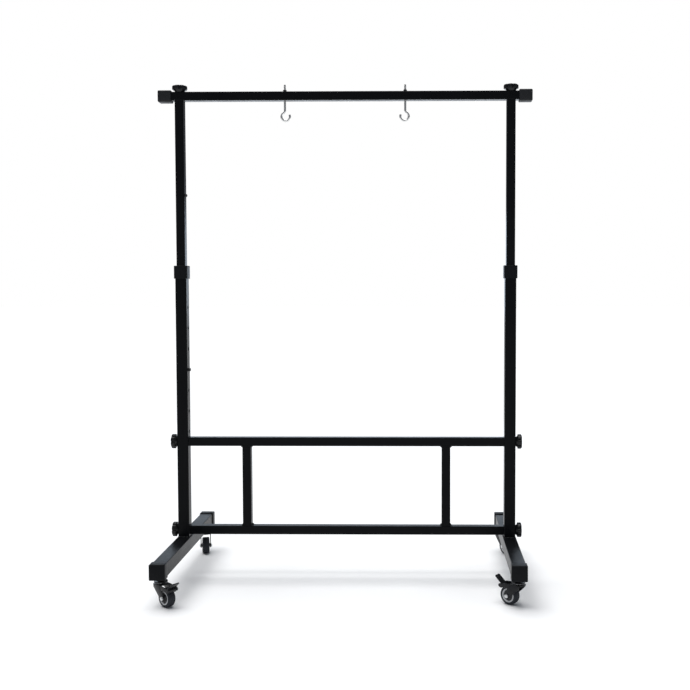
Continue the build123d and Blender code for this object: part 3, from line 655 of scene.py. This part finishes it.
def hook_wire(shank_top, shank_foot):
    """The plain wire of a hook: straight shank, a bend out, then the open eye with a domed tip."""
    shape = bmesh.new()
    ring = bmesh.ops.create_circle(shape, segments=wire_sides, radius=wire_radius, cap_ends=True)["verts"]
    bmesh.ops.translate(shape, verts=ring, vec=(0, 0, shank_top))
    tip = grow(shape, shape.faces[:][0])
    bmesh.ops.translate(shape, verts=tip.verts, vec=(0, 0, shank_foot - shank_top))
    path_end = Vector((0, 0, shank_foot))
    heading = Vector((0, 0, -1))
    for radius, sweep, sense in ((bend_radius, bend_turn, 1), (eye_radius, eye_sweep, -1)):
        outward = Vector((heading.z, 0, -heading.x)) * sense
        centre = path_end + outward * radius
        steps = max(2, round(sweep / arc_step))
        for _ in range(steps):
            tip = grow(shape, tip)
            spin = Matrix.Rotation(sense * sweep / steps, 3, "Y")
            bmesh.ops.rotate(shape, verts=tip.verts, cent=centre, matrix=spin)
        whole = Matrix.Rotation(sense * sweep, 3, "Y")
        path_end = centre + whole @ (path_end - centre)
        heading = whole @ heading
    for share in tip_rings:
        tip = grow(shape, tip)
        resize(shape, tip, wire_radius * (1 - share ** 2) ** 0.5)
        ahead = wire_radius * share - (tip.calc_center_median() - path_end).dot(heading)
        bmesh.ops.translate(shape, verts=tip.verts, vec=heading * ahead)
    return shape


def rolled_thread(radius, bottom, top, pitch, depth, segments):
    """A closed bar with a helical thread, spun from one zigzag outline that climbs a pitch a turn."""
    shape = bmesh.new()
    teeth = int((top - bottom) / pitch) - 1
    points = []
    for tooth in range(teeth):
        for share, inward in ((0.0, depth), (0.3, 0.0), (0.5, 0.0), (0.8, depth)):
            points.append(shape.verts.new((radius - inward, 0, bottom + (tooth + share) * pitch)))
    points.append(shape.verts.new((radius - depth, 0, bottom + teeth * pitch)))
    edges = [shape.edges.new(pair) for pair in zip(points, points[1:])]
    bmesh.ops.spin(shape, geom=points + edges, cent=(0, 0, 0), axis=(0, 0, 1),
                   dvec=(0, 0, pitch / segments), angle=tau, steps=segments, use_merge=False)
    bmesh.ops.remove_doubles(shape, verts=shape.verts, dist=1e-6)
    close_holes(shape)
    return shape


def hexagon_nut(across, height, round_width):
    """A hexagonal nut standing on z = 0 with its corners turned off above."""
    shape = bmesh.new()
    bmesh.ops.create_circle(shape, segments=6, radius=across / 2 / cos(pi / 6), cap_ends=True)
    grown = bmesh.ops.extrude_face_region(shape, geom=shape.faces[:])["geom"]
    bmesh.ops.translate(shape, verts=[v for v in grown if isinstance(v, bmesh.types.BMVert)],
                        vec=(0, 0, height))
    bevel(shape, shape.edges, round_width, 2)
    return shape


black_oxide = finish("black_oxide", (0.018, 0.018, 0.02), (0.026, 0.026, 0.028), (0.2, 0.2, 0.2),
                     roughness=0.36, swing=0.16, grain=900, waves=120, grain_share=0.5, depth=0.00008,
                     wear=0.6, wear_width=0.0005, dust=0.03, metallic=0.6)
for side, sign in SIDES.items():
    low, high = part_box(f"hook_{side}")
    bolt_x = joints[f"hook_{side}_turn"]["pos_m"][0]
    bolt = hook_wire(bar_low.z + shank_lap, bar_low.z - hook_drop)
    thread = rolled_thread(wire_radius, bar_low.z + thread_lap, high.z + thread_pitch, thread_pitch,
                           thread_depth, thread_sides)
    bmesh.ops.bisect_plane(thread, geom=thread.verts[:] + thread.edges[:] + thread.faces[:],
                           plane_co=(0, 0, high.z - thread_cut), plane_no=(0, 0, 1), clear_outer=True)
    close_holes(thread)
    join(bolt, thread)
    turned_round = Matrix.Rotation(0 if sign < 0 else pi, 4, "Z")
    move(bolt, Matrix.Translation((bolt_x, 0, 0)) @ turned_round)
    make_piece(f"hook_bolt_{side}", bolt, bright_steel, f"hook_{side}_body", "bright_steel", f"hook_{side}")
    nut = hexagon_nut(nut_across, nut_height, nut_round)
    move(nut, Matrix.Translation((bolt_x, 0, bar_high.z + nut_gap)))
    make_piece(f"hook_lock_nut_{side}", nut, black_oxide, f"hook_{side}_body", "black_oxide",
               f"hook_nut_{side}")

# ---- Star knobs and their studs ------------------------------------------------------------------------
# Seven-lobed moulded knobs on steel studs clamp the bar down on the posts and the crossbars between
# them. Each has a flared neck, rounded lobes and a shallow dish in its crown.
knob_radius, knob_lobes, knob_notch = 0.0212, 7, 0.0042
knob_neck_foot, knob_neck_top, knob_neck = 0.0125, 0.017, 0.0065
knob_head, knob_gap = 0.012, 0.0003
knob_crown_round, knob_skirt_round = 0.0036, 0.0018
knob_crown_rings = ((0.0150, 0.0), (0.0105, 0.0), (0.0085, 0.0004), (0.0075, 0.0010))   # radius, drop
knob_lobe_sides, knob_lobe_power, knob_crown_fill = 18, 2.2, 0.35
knob_skirt_steps, knob_crown_steps = 5, 7
knob_plastic = finish("knob_plastic", (0.0050, 0.0054, 0.0062), (0.0080, 0.0084, 0.0095),
                      (0.04, 0.042, 0.046),
                      roughness=0.30, swing=0.16, grain=1500, waves=60, grain_share=0.6, depth=0.0001,
                      wear=0.3, wear_width=0.0009, dust=0.03, specular=0.25)


def lobed(shape, verts, radius, notch):
    """Draws a ring of vertices in between the lobes, as the outline of a star knob."""
    for vert in verts:
        turn = atan2(vert.co.y, vert.co.x) * knob_lobes
        dip = max(0.0, cos(turn)) ** knob_lobe_power
        reach = (radius - notch * dip) / vert.co.xy.length
        bmesh.ops.scale(shape, vec=(reach, reach, 1), verts=[vert])


def star_knob():
    """A star knob whose neck stands on z = 0."""
    shape = bmesh.new()
    bmesh.ops.create_circle(shape, segments=knob_lobes * knob_lobe_sides, radius=knob_neck_foot,
                            cap_ends=True)
    shelf = knob_neck - knob_gap
    top = grow(shape, shape.faces[:][0])
    bmesh.ops.translate(shape, verts=top.verts, vec=(0, 0, shelf))
    widen = knob_neck_top / knob_neck_foot
    bmesh.ops.scale(shape, vec=(widen, widen, 1), verts=top.verts)
    rings = []
    for step in range(knob_skirt_steps + 1):
        turn = step * pi / 2 / knob_skirt_steps
        rings.append((knob_skirt_round * (1 - sin(turn)), knob_notch, knob_skirt_round * (1 - cos(turn))))
    for step in range(knob_crown_steps + 1):
        turn = step * pi / 2 / knob_crown_steps
        notch = knob_notch * (1 - knob_crown_fill * (1 - cos(turn)))
        lift = knob_head - knob_crown_round * (1 - sin(turn))
        rings.append((knob_crown_round * (1 - cos(turn)), notch, lift))
    for inset, notch, lift in rings:
        top = grow(shape, top)
        lobed(shape, top.verts, knob_radius - inset, notch)
        for vert in top.verts:
            vert.co.z = shelf + lift
    for radius, drop in knob_crown_rings:
        top = grow(shape, top)
        for vert in top.verts:
            reach = radius / vert.co.xy.length
            bmesh.ops.scale(shape, vec=(reach, reach, 1), verts=[vert])
            vert.co.z = shelf + knob_head - drop
    move(shape, Matrix.Translation((0, 0, knob_gap)))
    return shape


stud_radius, stud_in_knob, stud_pitch, stud_depth, stud_sides = 0.004, 0.014, 0.00125, 0.0004, 20
for name in [f"{level}_{side}" for level in ("top", "mid", "low") for side in SIDES]:
    joint = joints[f"knob_{name}_turn"]
    seat, axis = Vector(joint["pos_m"]), Vector(joint["axis"])
    facing = Matrix.Translation(seat) @ axis.to_track_quat("Z", "Y").to_matrix().to_4x4()
    knob = star_knob()
    move(knob, facing)
    make_piece(f"star_knob_{name}", knob, knob_plastic, f"knob_{name}_body", "knob_plastic", f"knob_{name}")
    low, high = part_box(f"knob_stud_{name}")
    stud_foot = stud_in_knob - max(high - low)
    stud = rolled_thread(stud_radius, stud_foot, stud_in_knob, stud_pitch, stud_depth, stud_sides)
    move(stud, facing)
    make_piece(f"threaded_stud_{name}", stud, zinc_steel, f"knob_{name}_body", "zinc_steel",
               f"knob_stud_{name}")

# ---- Castors ----------------------------------------------------------------------------------------------
# Four 50 mm swivel castors on threaded stems. A stamped black fork turns on a ring of balls under a
# round race plate and carries a dark grey tyre on a pale-rimmed hub. The two front ones have a
# stamped foot brake. Every castor is drawn with its wheel trailing along +X, then turned into place.
castors = {
    f"{end}_{side}": (joints[f"castor_{end}_{side}_swivel_turn"], joints[f"castor_{end}_{side}_roll"])
    for end in ("front", "rear") for side in SIDES
}
pin_joint = joints["brake_pedal_front_left_tip"]
pin_x = (Vector(pin_joint["pos_m"]).xy - Vector(castors["front_left"][0]["pos_m"]).xy).length
pin_z = pin_joint["pos_m"][2]
trail, axle_height = 0.026, 0.025
wheel_radius, tyre_width, hub_radius = 0.025, 0.022, 0.018
fork_inner, fork_plate, fork_edge = 0.0135, 0.0025, 0.0005
fork_step = 0.0002          # how far the legs and the bridges stand back from the crown's faces
crown_bottom, crown_top, crown_radius, crown_edge, crown_sides = 0.056, 0.0585, 0.020, 0.0006, 64
race_inner, race_outer, race_slope, race_depth = 0.0094, 0.0146, 0.001, 0.0005
leg_back, leg_front, leg_depth, leg_boss = -0.012, 0.018, 0.008, (0.008, 36)
ear_back, ear_depth, ear_boss = 0.006, 0.012, (0.0052, 28)
kingpin_radius, bore_slack, bridge_gap, bridge_lap, bridge_thinner = 0.004, 0.0001, 0.002, 0.0005, 0.0006

castor_black = finish("castor_black", (0.0050, 0.0055, 0.0068), (0.0085, 0.0092, 0.0110), (0.16, 0.165, 0.18),
                      roughness=0.27, swing=0.2, grain=800, waves=90, grain_share=0.5, depth=0.00012,
                      wear=0.6, wear_width=0.0007, dust=0.03, specular=0.22)
stem_steel = finish("stem_steel", (0.035, 0.036, 0.039), (0.055, 0.056, 0.06), (0.38, 0.38, 0.38),
                    roughness=0.30, swing=0.2, grain=600, waves=100, grain_share=0.5, depth=0.00008,
                    wear=0.6, wear_width=0.0006, dust=0.05, metallic=0.85)
rim_plastic = finish("rim_plastic", (0.50, 0.51, 0.53), (0.58, 0.59, 0.60), (0.66, 0.66, 0.66),
                     roughness=0.34, swing=0.16, grain=1200, waves=80, grain_share=0.6, depth=0.00008,
                     wear=0.2, wear_width=0.0005, dust=0.05)
web_plastic = finish("web_plastic", (0.020, 0.020, 0.022), (0.028, 0.028, 0.030), (0.06, 0.06, 0.06),
                     roughness=0.4, swing=0.16, grain=1200, waves=80, grain_share=0.6, depth=0.0001,
                     wear=0.3, wear_width=0.0006, dust=0.05)
tyre_rubber = finish("tyre_rubber", (0.014, 0.0165, 0.022), (0.020, 0.0230, 0.030), (0.05, 0.053, 0.06),
                     roughness=0.60, swing=0.2, grain=1400, waves=110, grain_share=0.6, depth=0.00022,
                     wear=0.4, wear_width=0.0016, dust=0.06, specular=0.25)


def castor_place(name):
    """Where a castor stands, turned from +X to the way that it trails."""
    swivel, roll = castors[name]
    pivot, axle = Vector(swivel["pos_m"]), Vector(roll["pos_m"])
    return (Matrix.Translation((pivot.x, pivot.y, 0))
            @ Matrix.Rotation(atan2(axle.y - pivot.y, axle.x - pivot.x), 4, "Z"))


on_axle = Matrix.Translation((trail, 0, axle_height)) @ Matrix.Rotation(pi / 2, 4, "X")


def block(size, place=Matrix()):
    """A box of the given size about the middle of its place."""
    shape = bmesh.new()
    bmesh.ops.create_cube(shape, size=1)
    move(shape, place @ Matrix.Diagonal((*size, 1)))
    return shape


def upright_plate(back, depth, boss, centre, half):
    """A plate of half thickness round a strip under the crown and a round boss, with softened rims."""
    shape = bmesh.new()
    for x in (back, leg_front):
        shape.verts.new((x, 0, crown_top - fork_step))
        shape.verts.new((x, 0, crown_top - depth))
    radius, sides = boss
    ring = bmesh.ops.create_circle(shape, segments=sides, radius=radius)["verts"]
    move(shape, Matrix.Translation((centre[0], 0, centre[1])) @ Matrix.Rotation(pi / 2, 4, "X"), ring)
    bmesh.ops.duplicate(shape, geom=shape.verts[:])
    shape.verts.ensure_lookup_table()
    count = len(shape.verts) // 2
    move(shape, Matrix.Translation((0, -half, 0)), shape.verts[:count])
    move(shape, Matrix.Translation((0, half, 0)), shape.verts[count:])
    bmesh.ops.convex_hull(shape, input=shape.verts[:])
    bmesh.ops.delete(shape, geom=[v for v in shape.verts if not v.link_faces], context="VERTS")
    bmesh.ops.dissolve_limit(shape, angle_limit=radians(1), verts=shape.verts[:], edges=shape.edges[:])
    bevel(shape, [e for e in shape.edges if len(e.link_faces) == 2
                  and sum(abs(f.normal.y) > 0.9 for f in e.link_faces) == 1], fork_edge, 2)
    return shape


def fork(braked):
    """A swivelling fork: a round crown flattened at the legs, bridges beside the kingpin, and two legs."""
    bore = kingpin_radius + bore_slack
    crown = turned([(bore, crown_bottom), (crown_radius, crown_bottom),
                    (crown_radius, crown_top - crown_edge), (crown_radius - crown_edge, crown_top),
                    (race_outer, crown_top), (race_outer - race_slope, crown_top - race_depth),
                    (race_inner + race_slope, crown_top - race_depth), (race_inner, crown_top),
                    (bore, crown_top)], crown_sides)
    legs = []
    for sign in (-1, 1):
        face = fork_inner + fork_plate - fork_step
        bmesh.ops.bisect_plane(crown, geom=crown.verts[:] + crown.edges[:] + crown.faces[:],
                               plane_co=(0, sign * face, 0), plane_no=(0, sign, 0), clear_outer=True)
        close_holes(crown)
        leg = upright_plate(leg_back, leg_depth, leg_boss, (trail, axle_height), fork_plate / 2)
        if braked:
            join(leg, upright_plate(ear_back, ear_depth, ear_boss, (pin_x, pin_z), (fork_plate - seam) / 2))
        move(leg, Matrix.Translation((0, sign * (fork_inner + fork_plate / 2), 0)))
        legs.append(leg)
    clear = kingpin_radius + bridge_gap
    for start, end in ((leg_back, -clear), (clear, leg_front)):
        centre = ((start + end) / 2, 0, (crown_bottom + crown_top) / 2 - fork_step)
        legs.append(block((end - start, 2 * (fork_inner + bridge_lap), fork_plate - bridge_thinner),
                          Matrix.Translation(centre)))
    return join(crown, *legs)


for name in castors:
    forked = fork(braked=name.startswith("front"))
    move(forked, castor_place(name))
    make_piece(f"stamped_fork_{name}", forked, castor_black, f"castor_{name}_swivel", "castor_black",
               f"castor_fork_{name}")

# The fixed half of each castor stays as modelled: stem, hexagon, race plate and the ring of balls.
coat_nodes(stem_steel, "castor_stems")
coat_nodes(bright_steel, "castor_balls")

# Each front fork carries a stamped pedal on a pin: a flat tread to step on, a hub, and a cam that
# presses on the tyre when the pedal is pushed down.
pedal_hub_radius, pedal_half, hub_edge, pin_radius, pin_edge = 0.0045, 0.0132, 0.0004, 0.002, 0.0003
cam_radius, cam_reach, cam_turn, cam_inset = 0.003, 0.0046, radians(73), 0.001
pedal_arm, pedal_plate, pedal_width, pedal_rise = 0.028, 0.0026, 0.020, radians(40)
pedal_corner, pedal_edge = 0.004, 0.0005
tread_rib, tread_rib_edge, tread_rib_share = (0.014, 0.0010, 0.0016), 0.0003, 0.62
tread_rib_rows = (-0.006, 0.0, 0.006)


def rod(radius, half, edge, sides):
    """A round bar along Z, half as long each way, with chamfered ends."""
    return turned([(0, -half), (radius - edge, -half), (radius, edge - half), (radius, half - edge),
                   (radius - edge, half), (0, half)], sides, closed=False)


def pedal():
    """A brake pedal about its pin, which lies along Z; the tread slopes up behind it, along +X."""
    cam_half = pedal_half - cam_inset
    cam = turned([(0, -cam_half), (cam_radius, -cam_half), (cam_radius, cam_half), (0, cam_half)], 32,
                 closed=False)
    move(cam, Matrix.Rotation(pi + cam_turn, 4, "Z") @ Matrix.Translation((cam_reach, 0, 0)))
    tread = block((pedal_arm + pedal_plate, pedal_plate, pedal_width))
    corners = [e for e in tread.edges if abs(e.verts[0].co.y - e.verts[1].co.y) > pedal_plate / 2
               and e.verts[0].co.x > 0]
    bevel(tread, corners, pedal_corner, 6)
    rim = [e for e in tread.edges if len({round(f.normal.y) for f in e.link_faces}) == 2]
    bevel(tread, rim, pedal_edge, 2)
    slope = Matrix.Rotation(pedal_rise, 4, "Z")
    move(tread, slope @ Matrix.Translation((pedal_arm / 2, pedal_hub_radius - pedal_plate / 2, 0)))
    ribs = []
    for across in tread_rib_rows:
        centre = (pedal_arm * tread_rib_share, pedal_hub_radius, across)
        rib = block(tread_rib, slope @ Matrix.Translation(centre))
        bevel(rib, rib.edges, tread_rib_edge, 2)
        ribs.append(rib)
    return join(rod(pedal_hub_radius, pedal_half, hub_edge, 40),
                rod(pin_radius, fork_inner + fork_plate, pin_edge, 24), cam, tread, *ribs)


for name in castors:
    if name.startswith("front"):
        stamped = pedal()
        upright = Matrix.Translation((pin_x, 0, pin_z)) @ Matrix.Rotation(pi / 2, 4, "X")
        move(stamped, castor_place(name) @ upright)
        make_piece(f"stamped_pedal_{name}", stamped, castor_black, f"brake_pedal_{name}_body",
                   "castor_black", f"brake_pedal_{name}")

# The wheel turns on a bolt with a bright domed head on one side and a nut on the other.
axle_radius, axle_tip, axle_chamfer, axle_sides = 0.003, 0.0004, 0.0005, 40
axle_head_radius, axle_head, axle_head_rim, axle_dome = 0.0056, 0.0032, 0.0006, (0.0024, 7)
axle_nut_across, axle_nut_round = 0.010, 0.0004
for name in castors:
    outer = fork_inner + fork_plate
    end = outer + axle_head
    bolt = turned([(0, -end - axle_tip), (axle_radius - axle_chamfer, -end - axle_tip), (axle_radius, -end),
                   (axle_radius, outer), (axle_head_radius, outer), (axle_head_radius, outer + axle_head_rim)]
                  + dome(axle_head_radius, end, *axle_dome), axle_sides)
    nut = hexagon_nut(axle_nut_across, axle_head, axle_nut_round)
    move(nut, Matrix.Translation((0, 0, -end)))
    axle = join(bolt, nut)
    move(axle, castor_place(name) @ on_axle)
    make_piece(f"axle_bolt_{name}", axle, zinc_steel, f"castor_{name}_swivel", "zinc_steel",
               f"castor_axle_{name}")

# A pale moulded rim with a raised lip, a dark dished web with eight ribs, and a boss on the axle.
rim_inner, rim_half, rim_edge, wheel_sides = 0.0142, 0.0100, 0.0008, 72
web_half, web_lap = 0.0078, 0.0002
boss_radius, boss_half, boss_edge, boss_foot = 0.007, 0.0132, 0.0012, 0.0008
rib_count, rib_width, rib_lap, rib_proud, rib_edge = 8, 0.0016, 0.0008, 0.0012, 0.0003
for name in castors:
    rim = turned([(rim_inner, -rim_half + rim_edge), (rim_inner + rim_edge, -rim_half),
                  (hub_radius, -rim_half), (hub_radius, rim_half), (rim_inner + rim_edge, rim_half),
                  (rim_inner, rim_half - rim_edge)], wheel_sides)
    move(rim, castor_place(name) @ on_axle)
    make_piece(f"hub_rim_{name}", rim, rim_plastic, f"castor_{name}_wheel", "hub_plastic",
               f"castor_hub_{name}")
    side = [(axle_radius + bore_slack, boss_half), (boss_radius - boss_edge, boss_half),
            (boss_radius, web_half + boss_foot), (boss_radius + boss_foot, web_half),
            (rim_inner + web_lap, web_half)]
    web = turned([(radius, -across) for radius, across in side] + side[::-1], wheel_sides)
    for rib in range(rib_count):
        bar = block((rim_inner - boss_radius + rib_lap, rib_width, 2 * (web_half + rib_proud)),
                    Matrix.Rotation(rib * tau / rib_count, 4, "Z")
                    @ Matrix.Translation(((boss_radius + rim_inner) / 2, 0, 0)))
        bevel(bar, bar.edges, rib_edge, 2)
        join(web, bar)
    move(web, castor_place(name) @ on_axle)
    make_piece(f"hub_web_{name}", web, web_plastic, f"castor_{name}_wheel", "hub_plastic",
               f"castor_hub_{name}")

# The tyre has round shoulders, two shallow grooves in its tread and a fine moulding seam.
groove_depth, groove_half, groove_place = 0.0007, 0.0009, 0.0032
line_depth, line_half = 0.0001, 0.0003
shoulder, shoulder_steps, tyre_sides = 0.0042, 6, 96
bead_set, bead_rise = 0.0010, 0.0008


def groove(centre):
    """The outline of one groove round the tread."""
    foot = wheel_radius - groove_depth
    return [(wheel_radius, centre - groove_half), (foot, centre - groove_half / 3),
            (foot, centre + groove_half / 3), (wheel_radius, centre + groove_half)]


for name in castors:
    half = tyre_width / 2
    turns = [step * pi / 2 / shoulder_steps for step in range(shoulder_steps + 1)]
    right = [(wheel_radius - shoulder * (1 - cos(turn)), half - shoulder * (1 - sin(turn))) for turn in turns]
    left = [(radius, -across) for radius, across in reversed(right)]
    line = [(wheel_radius - line_depth, -line_half), (wheel_radius, 0.0),
            (wheel_radius - line_depth, line_half)]
    bead = [(hub_radius, half - bead_set), (hub_radius, bead_set - half), (hub_radius + bead_rise, -half)]
    tyre = turned(bead + left + groove(-groove_place) + line + groove(groove_place) + right
                  + [(hub_radius + bead_rise, half)], tyre_sides)
    move(tyre, castor_place(name) @ on_axle)
    make_piece(f"ribbed_tyre_{name}", tyre, tyre_rubber, f"castor_{name}_wheel", "tyre_rubber",
               f"castor_tyre_{name}")
